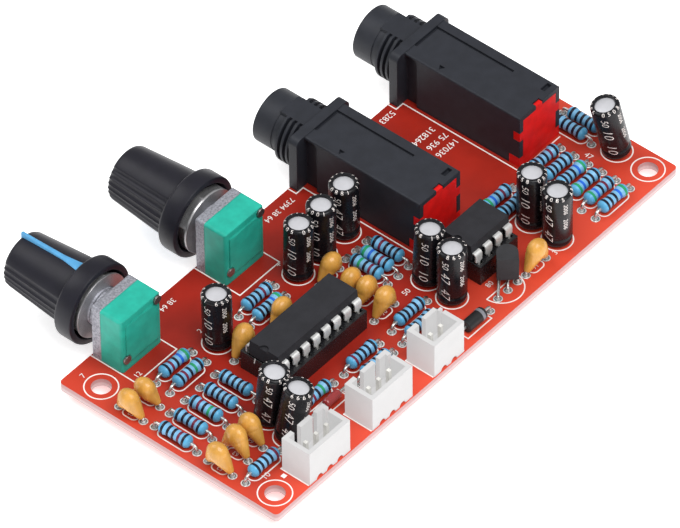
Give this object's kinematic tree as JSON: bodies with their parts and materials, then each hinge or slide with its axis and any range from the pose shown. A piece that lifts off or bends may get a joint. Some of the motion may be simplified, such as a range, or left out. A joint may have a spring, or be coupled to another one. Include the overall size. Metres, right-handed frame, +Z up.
{
  "type": "microphone amplifier board",
  "caption": "Red circuit board with two phone jacks and two rotary knobs along its front edge, shrouded headers along its rear edge and through-hole parts between them.",
  "frame": {"origin": "centre of the four mounting holes, on the underside of the board", "axes": "+Z up from the component side; -Y towards the jacks and knobs; +X towards the knobs' end of the board"},
  "size_m": [0.101, 0.0643, 0.0171],
  "materials": {
    "board": "red solder mask, satin gloss",
    "print": "white printed lines",
    "solder": "bright solder",
    "jack_black": "black moulded plastic",
    "cap_red": "red moulded plastic",
    "contact": "tinned spring metal",
    "die_cast": "grainy grey die casting",
    "case_green": "green moulded plastic",
    "wafer": "brown laminate",
    "rivet": "plain metal",
    "fastener": "bright plated steel",
    "shaft": "turned metal",
    "wiper": "spring brass",
    "knob_black": "black satin plastic",
    "pointer_blue": "sky blue plastic",
    "header_white": "off-white nylon",
    "pin": "tinned square wire",
    "chip_grey": "dark grey moulding",
    "tinned": "tinned metal",
    "socket_black": "black moulded plastic",
    "can": "bare aluminium",
    "sleeve": "black shrunk sleeve with white marks",
    "bung": "black rubber",
    "ceramic": "mustard dipped coating",
    "resistor_blue": "light blue lacquer",
    "band_dark": "black lacquer",
    "band_brown": "brown lacquer",
    "band_green": "green lacquer",
    "band_blue": "blue lacquer",
    "transistor_black": "black moulded epoxy",
    "diode_black": "black moulded epoxy",
    "diode_silver": "silver printed band",
    "diode_glass": "orange-red glass"
  },
  "bodies": {
    "board": {"pcb": "board", "board_print": "print", "solder_joints": "solder", "jack_1_housing": "jack_black", "jack_1_end_cap": "cap_red", "jack_1_contacts": "contact", "jack_2_housing": "jack_black", "jack_2_end_cap": "cap_red", "jack_2_contacts": "contact", "pot_1_front_plate": "die_cast", "pot_2_front_plate": "die_cast", "pot_1_rear_case": "case_green", "pot_2_rear_case": "case_green", "pot_wafers": "wafer", "pot_terminals": "contact", "pot_rivets": "rivet", "pot_washers": "fastener", "pot_nuts": "fastener", "header_1_shroud": "header_white", "header_2_shroud": "header_white", "header_3_shroud": "header_white", "header_pins": "pin", "long_chip": "chip_grey", "long_chip_leads": "tinned", "long_socket": "socket_black", "long_socket_contacts": "contact", "short_chip": "chip_grey", "short_chip_leads": "tinned", "short_socket": "socket_black", "short_socket_contacts": "contact", "capacitor_cans": "can", "capacitor_sleeves": "sleeve", "capacitor_bungs": "bung", "capacitor_leads": "tinned", "ceramic_drops": "ceramic", "ceramic_leads": "tinned", "resistor_bodies": "resistor_blue", "resistor_leads": "tinned", "dark_bands": "band_dark", "brown_bands": "band_brown", "green_bands": "band_green", "blue_bands": "band_blue", "transistor_body": "transistor_black", "transistor_leads": "tinned", "rectifier_body": "diode_black", "rectifier_band": "diode_silver", "rectifier_leads": "tinned", "glass_diode_body": "diode_glass", "glass_diode_leads": "tinned"},
    "first_knob": {"knob_1": "knob_black", "knob_1_pointer": "pointer_blue", "pot_1_shaft": "shaft", "pot_1_wiper": "wiper"},
    "second_knob": {"knob_2": "knob_black", "knob_2_pointer": "pointer_blue", "pot_2_shaft": "shaft", "pot_2_wiper": "wiper"}
  },
  "joints": [
    {"name": "first_knob_turn", "type": "hinge", "parent": "board", "child": "first_knob", "pos_m": [0.03785, 0, 0.00795], "axis": [0, 1, 0], "range_deg": [-150, 150]},
    {"name": "second_knob_turn", "type": "hinge", "parent": "board", "child": "second_knob", "pos_m": [0.01245, 0, 0.00795], "axis": [0, 1, 0], "range_deg": [-290, 10]}
  ]
}
